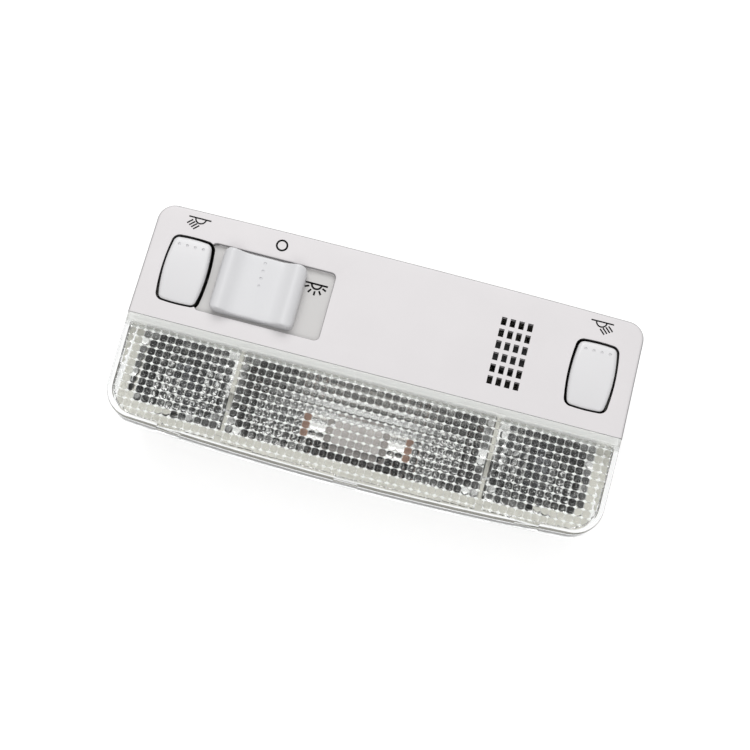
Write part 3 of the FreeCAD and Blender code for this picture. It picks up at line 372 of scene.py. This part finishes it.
rocker_low, rocker_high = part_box("right_rocker")
rocker_y = (rocker_low.y + rocker_high.y) / 2
bezel_tree = finishes["face_grey"].node_tree
spot = places(bezel_tree)
from_middle = measure(bezel_tree, "ABSOLUTE", spot["x"], 0.0)
near_x = between(bezel_tree, from_middle, opening_inner_x, opening_outer_x)
near_y = between(bezel_tree, spot["y"], rocker_y - opening_half_y, rocker_y + opening_half_y)
deep = measure(bezel_tree, "LESS_THAN", spot["z"], face_z - wall_shade_below)
upright = measure(bezel_tree, "LESS_THAN", spot["flat"], 0.5)
in_opening = measure(bezel_tree, "MULTIPLY", near_x, near_y)
on_wall = measure(bezel_tree, "MULTIPLY", deep, upright)
# Painted shade: the walls of the rocker openings in the bezel are near black.
tone(finishes["face_grey"], measure(bezel_tree, "MULTIPLY", in_opening, on_wall), (0.02, 0.02, 0.02))
print("rocker gaps darkened about y", round(rocker_y / MM, 1), "mm")

# %% [markdown]
# ## Recess floor and edge line
# The floor of the slide recess looks darker than the face, and a grey line runs round the edge of the face.
# Both are painted shade on one moulding, so they stay one material whose tone changes with the level and the
# slope.

# %% Recess floor and edge line
recess_depth = 2.0 * MM
floor_shade_band = 0.3 * MM
edge_shade_depth = 1.3 * MM
recess_z = face_z - recess_depth
# Painted shade: the recess floor is darker than the face.
on_level = between(bezel_tree, spot["z"], recess_z - floor_shade_band, recess_z + floor_shade_band)
facing_up = measure(bezel_tree, "GREATER_THAN", spot["flat"], 0.5)
tone(finishes["face_grey"], measure(bezel_tree, "MULTIPLY", on_level, facing_up), (0.575, 0.565, 0.558))
# Painted shade: a grey line on the sloping faces just below the face level.
near_face = measure(bezel_tree, "GREATER_THAN", spot["z"], face_z - edge_shade_depth)
sloping = measure(bezel_tree, "LESS_THAN", spot["flat"], 0.72)
tone(finishes["face_grey"], measure(bezel_tree, "MULTIPLY", near_face, sloping), (0.27, 0.265, 0.27))
print("recess floor toned", round(recess_depth / MM, 1), "mm below the face")

# %% [markdown]
# ## Reflectors
# The reflectors are vapour coated: metal over plastic that looks dark where it mirrors the inside, and that
# dark is painted into their colour.
# On this unit their upper walls look lighter, most in the middle and next to the dividers: a painted
# reflection.
# The bowls are taken to be stippled, a coarse bump, while their small light and dark flecks are painted
# reflections in the colour.
# Each facet could be modelled, but the cells of the cover break it up, so a noise in the finish is enough.

# %% Reflectors
painted_dark_y = seam_y - 21 * MM
painted_light_y = seam_y - 8 * MM
# Painted dark reflection: the metal's colour is kept near black.
silver = finish("reflector_silver", (0.14, 0.14, 0.135), (0.004, 0.004, 0.005), 0.2,
                spread=0.1, metallic=0.9, patch=330.0, grain=380.0, depth=0.9)
silver_tree = silver.node_tree
spot = places(silver_tree)
from_middle = measure(silver_tree, "ABSOLUTE", spot["x"], 0.0)
# Painted reflection: the upper walls are made light by place.
high_up = ramp(silver_tree, spot["y"], painted_dark_y, painted_light_y)
in_middle = ramp(silver_tree, from_middle, 34 * MM, 14 * MM, 0.15, 1.0)
by_divider = ramp(silver_tree, from_middle, 84 * MM, 56 * MM, 0.0, 0.85)
in_side_lamp = measure(silver_tree, "GREATER_THAN", from_middle, divider_x)
side_share = measure(silver_tree, "MULTIPLY", by_divider, in_side_lamp)
painted_light_place = measure(silver_tree, "MAXIMUM", in_middle, side_share)
tone(silver, measure(silver_tree, "MULTIPLY", high_up, painted_light_place), (0.90, 0.90, 0.88))
# Painted glints: small light flecks from a noise.
painted_glint_share = ramp(silver_tree, speckle(silver_tree, 420.0), 0.52, 0.64, 0.0, 0.8)
tone(silver, painted_glint_share, (0.85, 0.85, 0.83))
finishes["reflector_silver"] = silver
print("reflectors lighten towards y", round(painted_light_y / MM, 1), "mm")

# %% [markdown]
# ## Other metals
# Contacts are copper alloy, conductors are tinned, springs are steel and screws are zinc plated.
# A metal's colour is that of its mirror image, so these differ in base colour and gloss alone.


# %% Other metals
def bare_metal(name, colour, shade, roughness):
    """A finish of plain metal."""
    finishes[name] = finish(name, colour, shade, roughness, metallic=1.0)


bare_metal("cap_metal", (0.86, 0.85, 0.83), (0.74, 0.73, 0.71), 0.25)
bare_metal("contact_copper", (0.64, 0.43, 0.34), (0.50, 0.30, 0.23), 0.3)
bare_metal("conductor_tinned", (0.66, 0.66, 0.66), (0.55, 0.55, 0.55), 0.35)
bare_metal("filament_wire", (0.30, 0.29, 0.28), (0.22, 0.21, 0.20), 0.4)
bare_metal("spring_steel", (0.55, 0.55, 0.56), (0.45, 0.45, 0.46), 0.3)
bare_metal("screw_zinc", (0.62, 0.62, 0.60), (0.52, 0.52, 0.49), 0.35)
print("finishes so far:", len(finishes))

# %% [markdown]
# ## Clear pieces
# The cover is clear acrylic, the small bulbs are clear glass and the tube bulb is milky.
# True glass would throw dark shadows here, as a lamp's light can't be traced straight through a bend.
# So shadow rays pass through it with some loss, and light reaches the chambers behind.
# The mirror image of the room is weaker than acrylic's own, so that the lamps behind the cover stay dark.


# %% Clear pieces
def clear_finish(name, tint, shade, index, roughness):
    """A see-through finish that bends light by its index and lets shadow rays pass."""
    material = finish(name, tint, shade, roughness, spread=roughness / 2, depth=0.0005)
    tree = material.node_tree
    shader = tree.nodes["Principled BSDF"]
    shader.inputs["Transmission Weight"].default_value = 1.0
    shader.inputs["IOR"].default_value = index
    shader.inputs["Specular Tint"].default_value = (0.4, 0.4, 0.4, 1.0)
    through = tree.nodes.new("ShaderNodeBsdfTransparent")
    through.inputs["Color"].default_value = (0.78, 0.78, 0.78, 1.0)
    rays = tree.nodes.new("ShaderNodeLightPath")
    choose = tree.nodes.new("ShaderNodeMixShader")
    tree.links.new(rays.outputs["Is Shadow Ray"], choose.inputs[0])
    tree.links.new(shader.outputs["BSDF"], choose.inputs[1])
    tree.links.new(through.outputs["BSDF"], choose.inputs[2])
    tree.links.new(choose.outputs["Shader"], tree.nodes["Material Output"].inputs["Surface"])
    return material


finishes["lens_clear"] = clear_finish("lens_clear", (0.985, 0.99, 0.99), (0.97, 0.98, 0.98), 1.49, 0.03)
finishes["bulb_clear"] = clear_finish("bulb_clear", (0.97, 0.98, 1.0), (0.94, 0.96, 0.99), 1.5, 0.02)
milky_bulb = finish("bulb_milky", (0.80, 0.765, 0.73), (0.40, 0.37, 0.35), 0.2, patch=420.0)
milky_bulb.node_tree.nodes["Principled BSDF"].inputs["Transmission Weight"].default_value = 0.5
print("clear finishes made")

# %% [markdown]
# ## Smooth shading
# The CAD meshes come as flat triangles, while real mouldings have smooth bends and true edges.
# The meshes could be edited, but they must stay as they are.
# So a modifier joins their corners and shades gentle bends smoothly, and keeps true edges sharp.

# %% Smoothing modifier
sharp_from = math.radians(28)
group = bpy.data.node_groups.new("smooth_by_angle", "GeometryNodeTree")
group.interface.new_socket("Geometry", in_out="INPUT", socket_type="NodeSocketGeometry")
group.interface.new_socket("Geometry", in_out="OUTPUT", socket_type="NodeSocketGeometry")
enter = group.nodes.new("NodeGroupInput")
leave = group.nodes.new("NodeGroupOutput")
weld = group.nodes.new("GeometryNodeMergeByDistance")
weld.inputs["Distance"].default_value = 1e-7
smooth_faces = group.nodes.new("GeometryNodeSetShadeSmooth")
smooth_edges = group.nodes.new("GeometryNodeSetShadeSmooth")
smooth_edges.domain = "EDGE"
bend = group.nodes.new("GeometryNodeInputMeshEdgeAngle")
gentle = group.nodes.new("FunctionNodeCompare")
gentle.operation = "LESS_THAN"
gentle.inputs["B"].default_value = sharp_from
group.links.new(enter.outputs["Geometry"], weld.inputs["Geometry"])
group.links.new(weld.outputs["Geometry"], smooth_faces.inputs["Geometry"])
group.links.new(smooth_faces.outputs["Geometry"], smooth_edges.inputs["Geometry"])
group.links.new(bend.outputs["Unsigned Angle"], gentle.inputs["A"])
group.links.new(gentle.outputs["Result"], smooth_edges.inputs["Shade Smooth"])
group.links.new(smooth_edges.outputs["Geometry"], leave.inputs["Geometry"])
print("edges stay sharp from", round(math.degrees(sharp_from)), "degrees")

# %% [markdown]
# ## Dress the CAD nodes
# Every piece of the unit gets the finish that the part's own record names for it.
# The finishes could be listed again here, but one list in one place can't fall out of step.
# The tube bulb and the rockers then get the special finishes made for them above.

# %% Dress the CAD nodes
slot_of = {part["node"]: part["material_slot"] for part in frame["record"]["subparts"]}
for name, node in nodes.items():
    node.data.materials.clear()
    node.data.materials.append(finishes[slot_of[name]])
    smooth = node.modifiers.new("smooth", "NODES")
    smooth.node_group = group
nodes["festoon_glass"].data.materials[0] = milky_bulb
for name in ("left_rocker", "right_rocker"):
    nodes[name].data.materials[0] = rocker_white
print("dressed", len(nodes), "nodes")

# %% [markdown]
# ## The cover's pillow optics
# The inside of the real cover is moulded as rows of small square pillows that spread the light.
# Each pillow is a shallow dome, so the line between two of them is a crease that catches the light.
# The cover stays plain along its border and over the two dividers.
# A bump in the finish only tricks the shading, so the pillows are real shapes: a height field on a fine grid.

# %% Pillow measures
cells_to_divider = 16.5
columns = 31
rows = 13
parts_per_cell = 6
cell = divider_x / cells_to_divider
dome_radius = 3.2 * MM
dome_height = dome_radius - math.sqrt(dome_radius ** 2 - cell ** 2 / 2)
sheet_under = face_z - 2.2 * MM
block_top = sheet_under + 0.8 * MM
plain_rise = 0.3 * MM
dome_drop = 0.08 * MM
pillow_top = seam_y - 2.0 * MM
border = 2.5 * MM
block_border = 1.2 * MM
print("cells of", round(cell / MM, 3), "mm, domes", round(dome_height / MM, 3), "mm high")

# %% [markdown]
# ## The level at each point
# The outline of the cover has straight tapered sides, a bowed lower edge and round corners.
# The distance to it tells where the plain border lies.
# The outline could be read from the mesh, but a short sum of these four measures is easier to follow.

# %% Pillow surface
corner = 13 * MM
bottom_bow = 3.8 * MM
side_taper = 1.1 * MM
half_length = lens_high.x


def edge_distance(x, y):
    """How far a point of the cover lies inside its outline."""
    share = (seam_y - y) / (seam_y - lens_low.y)
    from_side = half_length - side_taper * share - abs(x)
    from_bottom = y - lens_low.y - bottom_bow * (x / half_length) ** 2
    if from_side < corner and from_bottom < corner:
        return corner - math.hypot(corner - from_side, corner - from_bottom)
    return min(from_side, from_bottom)


def pillow_level(x, y, column, row):
    """The underside of the cover at a point of the pillow in that column and row."""
    on_divider = abs(abs(x) - divider_x) < cell * 0.49
    if on_divider or edge_distance(x, y) < border:
        return sheet_under + plain_rise
    dx = x - (column + 0.5) * cell
    dy = y - (pillow_top - (row + 0.5) * cell)
    sink = dome_radius - math.sqrt(dome_radius ** 2 - dx * dx - dy * dy)
    return sheet_under - dome_drop - dome_height + sink


middle_level = pillow_level(cell / 2, pillow_top - 2.5 * cell, 0, 2)
print("a pillow reaches down to", round(middle_level / MM, 2), "mm")

# %% [markdown]
# ## The pillow block
# The height field gets a flat top and side walls, so that it is a closed block.
# Neighbouring cells share their vertices, which a dictionary of grid places looks after.

# %% Pillow block
pillow = bmesh.new()
corners = {}


def grid_place(i, j):
    """The place of a point of the fine grid."""
    return i * cell / parts_per_cell, pillow_top - j * cell / parts_per_cell


def grid_corner(i, j, column, row, upper):
    """The vertex of the fine grid at (i, j), made when first asked for."""
    if (i, j, upper) not in corners:
        x, y = grid_place(i, j)
        z = block_top if upper else pillow_level(x, y, column, row)
        corners[(i, j, upper)] = pillow.verts.new((x, y, z))
    return corners[(i, j, upper)]


def fill_cell(column, row):
    """Makes the small faces of one cell, below and on top, where the cover has room for them."""
    for a in range(parts_per_cell):
        for b in range(parts_per_cell):
            i = column * parts_per_cell + a
            j = row * parts_per_cell + b
            ring = [(i, j), (i, j + 1), (i + 1, j + 1), (i + 1, j)]
            if min(edge_distance(*grid_place(p, q)) for p, q in ring) < block_border:
                continue
            pillow.faces.new([grid_corner(p, q, column, row, False) for p, q in reversed(ring)])
            pillow.faces.new([grid_corner(p, q, column, row, True) for p, q in ring])


for column in range(-columns, columns):
    for row in range(rows):
        fill_cell(column, row)
print("pillow block has", len(pillow.faces), "faces below and on top")

# %% [markdown]
# ## The walls of the block
# Every open edge of the underside is joined to the edge above it.
# A solidify modifier could close it too, but its top would copy the domes instead of being flat.

# %% Pillow walls
open_rim = [edge for edge in pillow.edges if edge.is_boundary and edge.verts[0].co.z < block_top - 0.1 * MM]
place_of = {vert: key for key, vert in corners.items() if not key[2]}
for edge in open_rim:
    first, second = edge.verts
    over_first = corners[(place_of[first][0], place_of[first][1], True)]
    over_second = corners[(place_of[second][0], place_of[second][1], True)]
    pillow.faces.new((first, second, over_second, over_first))
bmesh.ops.recalc_face_normals(pillow, faces=pillow.faces)
pillow_mesh = bpy.data.meshes.new("pillow_block")
pillow.to_mesh(pillow_mesh)
pillow.free()
print("pillow block closed with", len(open_rim), "wall faces")

# %% [markdown]
# ## Bright creases
# On a real cover the creases between the pillows are rounded, and they shine most where they cross.
# Such fine rounding would need a far finer mesh, so a white finish stands in for their shine as a painted
# highlight.
# It covers the crossings and a share of the lines. As painted light on a part in shade, it also covers the
# top edge of the cover, where it fades out downwards.

# %% Where the cover gets painted light
line_half = 0.2 * MM
line_share = 0.3
crossing_stretch = 0.6
crossing_reach = 3.1 * line_half


def crease_highlight_share(tree, spot):
    """How far a point of the pillows gets the painted highlight: fully at a crossing, in part on a line."""
    across = measure(tree, "PINGPONG", spot["x"], cell / 2)
    down = measure(tree, "PINGPONG", measure(tree, "SUBTRACT", spot["y"], pillow_top), cell / 2)
    on_line = measure(tree, "LESS_THAN", measure(tree, "MINIMUM", across, down), line_half)
    reach = measure(tree, "ADD", measure(tree, "MULTIPLY", across, crossing_stretch), down)
    on_crossing = measure(tree, "LESS_THAN", reach, crossing_reach)
    marks = measure(tree, "MAXIMUM", measure(tree, "MULTIPLY", on_line, line_share), on_crossing)
    inside = between(tree, spot["z"], sheet_under - 1.2 * MM, sheet_under - 0.05 * MM)
    on_cells = measure(tree, "MULTIPLY", inside, measure(tree, "GREATER_THAN", spot["flat"], 0.5))
    return measure(tree, "MULTIPLY", marks, on_cells)


# Painted light on the top edge of the cover, which lies in shade.
def edge_light_share(tree, spot):
    """One at the top edge of the cover, and less below it."""
    return ramp(tree, spot["y"], seam_y - 4.4 * MM, seam_y - 2.0 * MM)


print("creases follow a grid of", round(cell / MM, 3), "mm")

# %% [markdown]
# ## The painted light finish
# The painted light is a white finish like frosted acrylic, which sends most light back and lets a little
# through.
# So a diffuse and a translucent shader are mixed, and laid over the clear one by the shares above.

# %% Painted light finish
painted_light_colour = (0.93, 0.94, 0.92, 1.0)
crease_highlight_strength = 0.95
edge_light_strength = 0.65
light_passed = 0.15
lens_tree = finishes["lens_clear"].node_tree
spot = places(lens_tree)
# Painted highlights on the creases between the pillows.
creases = measure(lens_tree, "MULTIPLY", crease_highlight_share(lens_tree, spot), crease_highlight_strength)
# Painted light along the top edge of the cover.
top_edge = measure(lens_tree, "MULTIPLY", edge_light_share(lens_tree, spot), edge_light_strength)
scatter = lens_tree.nodes.new("ShaderNodeBsdfDiffuse")
scatter.inputs["Color"].default_value = painted_light_colour
passing = lens_tree.nodes.new("ShaderNodeBsdfTranslucent")
passing.inputs["Color"].default_value = painted_light_colour
painted_light_shader = lens_tree.nodes.new("ShaderNodeMixShader")
painted_light_shader.inputs[0].default_value = light_passed
lens_tree.links.new(scatter.outputs["BSDF"], painted_light_shader.inputs[1])
lens_tree.links.new(passing.outputs["BSDF"], painted_light_shader.inputs[2])
highlighted = lens_tree.nodes.new("ShaderNodeMixShader")
lens_tree.links.new(measure(lens_tree, "MAXIMUM", creases, top_edge), highlighted.inputs[0])
lens_tree.links.new(lens_tree.nodes["Principled BSDF"].outputs["BSDF"], highlighted.inputs[1])
lens_tree.links.new(painted_light_shader.outputs["Shader"], highlighted.inputs[2])
shadow_choice = lens_tree.nodes["Material Output"].inputs["Surface"].links[0].from_node
lens_tree.links.new(highlighted.outputs["Shader"], shadow_choice.inputs[1])
print("cover frosted with", len(lens_tree.nodes), "nodes in its finish")

# %% [markdown]
# ## The plain cover
# The CAD cover is copied, so that the CAD mesh itself stays as it is.
# Its foot stands on the carrier. Two surfaces in one place make dark specks, so the foot is lifted a little.
# The copy also carries the shading of the old flat faces, which has to go.

# %% Plain cover
foot_depth = 9.0 * MM
foot_lift = 0.12 * MM
plain = bmesh.new()
plain.from_mesh(nodes["lens"].data)
bmesh.ops.remove_doubles(plain, verts=plain.verts, dist=1e-7)
foot = [vert for vert in plain.verts if abs(vert.co.z - (face_z - foot_depth)) < 0.01 * MM]
for vert in foot:
    vert.co.z += foot_lift
cover_mesh = bpy.data.meshes.new("lens_with_cells")
plain.to_mesh(cover_mesh)
plain.free()
for attribute in [a for a in cover_mesh.attributes if a.name == "custom_normal"]:
    cover_mesh.attributes.remove(attribute)
cover = bpy.data.objects.new("lens_with_cells", cover_mesh)
scene.collection.objects.link(cover)
print("plain cover:", len(cover_mesh.polygons), "faces,", len(foot), "foot corners lifted")

# %% [markdown]
# ## One closed cover
# The real cover is one shot of acrylic, and light only bends truly in one closed solid.
# Two overlapping meshes would bend it twice, so a Boolean modifier joins the pillows to the plain cover.
# Its result takes the place of the CAD cover.

# %% Join the pillows to the cover
pillow_block = bpy.data.objects.new("pillow_block", pillow_mesh)
scene.collection.objects.link(pillow_block)
join = cover.modifiers.new("join", "BOOLEAN")
join.operation = "UNION"
join.solver = "EXACT"
join.object = pillow_block
bpy.context.view_layer.update()
joined = bpy.data.meshes.new_from_object(cover.evaluated_get(bpy.context.evaluated_depsgraph_get()))
cover.modifiers.clear()
cover.data = joined
bpy.data.objects.remove(pillow_block)
joined.materials.clear()
joined.materials.append(finishes["lens_clear"])
for polygon in joined.polygons:
    polygon.use_smooth = True
joined.set_sharp_from_angle(angle=math.radians(22))
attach(cover, "chassis")
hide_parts("lens")
check = bmesh.new()
check.from_mesh(joined)
open_edges = sum(1 for edge in check.edges if not edge.is_manifold)
check.free()
print("cover:", len(joined.polygons), "faces,", open_edges, "open edges")

# %% [markdown]
# ## Printed symbols
# The symbols by the switches are pad printed: a thin film of black ink.
# They could be curves or text, but a film with true thickness also shows in the exported model.
# Each one is built from straight strips and bows that stand a hair above the plastic.

# %% Symbol helpers
film = 0.03 * MM
ink_gap = 0.005 * MM
bow_steps = 40


def strip(mesh, start, end, width, level):
    """A flat bar of ink from start to end."""
    along = (Vector(end) - Vector(start)).normalized()
    side = Vector((-along.y, along.x)) * width / 2
    points = [Vector(start) - side, Vector(end) - side, Vector(end) + side, Vector(start) + side]
    mesh.faces.new([mesh.verts.new((p.x, p.y, level)) for p in points])


def bow(mesh, middle, radius, width, first, last, level):
    """A curved line of ink from one angle to another."""
    pairs = []
    for step in range(bow_steps + 1):
        turn = first + (last - first) * step / bow_steps
        way = Vector((math.cos(turn), math.sin(turn)))
        ends = [Vector(middle) + way * (radius - width), Vector(middle) + way * radius]
        pairs.append([mesh.verts.new((end.x, end.y, level)) for end in ends])
    for before, after in zip(pairs, pairs[1:]):
        mesh.faces.new((before[0], before[1], after[1], after[0]))


def ink_piece(name, mesh):
    """Turns flat ink into a thin film and puts it on the chassis."""
    made = bmesh.ops.extrude_face_region(mesh, geom=list(mesh.faces))
    lifted = [item for item in made["geom"] if isinstance(item, bmesh.types.BMVert)]
    bmesh.ops.translate(mesh, verts=lifted, vec=(0, 0, film))
    bmesh.ops.recalc_face_normals(mesh, faces=mesh.faces)
    data = bpy.data.meshes.new(name)
    mesh.to_mesh(data)
    mesh.free()
    data.materials.append(ink)
    piece = bpy.data.objects.new(name, data)
    scene.collection.objects.link(piece)
    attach(piece, "chassis")
    print("printed", name, "with", len(data.polygons), "faces")


print("ink film is", round(film / MM, 3), "mm thick")

# %% [markdown]
# ## Reading light symbols
# Above each rocker stands a lamp with rays to one side: a bar, a half bowl below it and four slanted rays.
# The two mirror each other, so one loop prints both.

# %% Reading light symbols
ink_level = face_z + ink_gap
line_width = 0.58 * MM
line_y = seam_y + 44.35 * MM
bar_half = 4.6 * MM
bowl_radius = 2.4 * MM
for way, name, middle in ((-1, "left_reading_symbol", -83.3 * MM), (1, "right_reading_symbol", 82.5 * MM)):
    symbol = bmesh.new()
    strip(symbol, (middle - bar_half, line_y), (middle + bar_half, line_y), line_width, ink_level)
    bowl_middle = (middle - way * 0.35 * MM, line_y)
    bow(symbol, bowl_middle, bowl_radius, line_width, math.pi, 2 * math.pi, ink_level)
    for index in range(4):
        start_x = middle - way * (-2.63 + 1.02 * index) * MM
        start_y = line_y - (1.05 + 0.64 * index) * MM
        end = (start_x + way * 2.0 * MM, start_y - 1.95 * MM)
        strip(symbol, (start_x, start_y), end, line_width, ink_level)
    ink_piece(name, symbol)

# %% [markdown]
# ## Room light symbols
# A ring above the slide switch marks its off place.
# A lamp with rays that fan out below it, printed on the recess floor, marks where the room light is on.
# Their lines are a little bolder than those of the reading lights.

# %% Room light symbols
bold_width = 0.76 * MM
ring = bmesh.new()
bow(ring, (-48.7 * MM, seam_y + 42.0 * MM), 2.5 * MM, bold_width, 0, 2 * math.pi, ink_level)
ink_piece("off_symbol", ring)

recess_level = recess_z + ink_gap
sun = bmesh.new()
sun_x = -31.3 * MM
sun_y = seam_y + 30.5 * MM
sun_half = 4.65 * MM
strip(sun, (sun_x - sun_half, sun_y), (sun_x + sun_half, sun_y), bold_width, recess_level)
bow(sun, (sun_x + 0.1 * MM, sun_y), 2.4 * MM, bold_width, math.pi, 2 * math.pi, recess_level)
for index in range(5):
    turn = math.radians(-90 + (index - 2) * 33)
    way = Vector((math.cos(turn), math.sin(turn)))
    start = Vector((sun_x, sun_y)) + way * 2.95 * MM
    strip(sun, start, start + way * 1.8 * MM, bold_width, recess_level)
ink_piece("room_light_symbol", sun)

# %% [markdown]
# ## Microphone felt
# A small microphone listens behind the grille, and a disc of black felt on its front keeps out dust.
# The front of the capsule could be painted black, but a disc of its own is closer to how one is made.

# %% Microphone felt
felt_thickness = 0.2 * MM
capsule_low, capsule_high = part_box("microphone_capsule")
felt_radius = (capsule_high.x - capsule_low.x) / 2
felt = bmesh.new()
bmesh.ops.create_cone(felt, cap_ends=True, segments=40, depth=felt_thickness,
                      radius1=felt_radius, radius2=felt_radius)
felt_mesh = bpy.data.meshes.new("microphone_felt")
felt.to_mesh(felt_mesh)
felt.free()
felt_mesh.materials.append(finishes["boot_rubber"])
felt_disc = bpy.data.objects.new("microphone_felt", felt_mesh)
felt_disc.location = ((capsule_low.x + capsule_high.x) / 2, (capsule_low.y + capsule_high.y) / 2,
                      capsule_high.z + felt_thickness / 2)
scene.collection.objects.link(felt_disc)
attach(felt_disc, "chassis")
print("felt disc lies at", round(felt_disc.location.z / MM, 2), "mm")
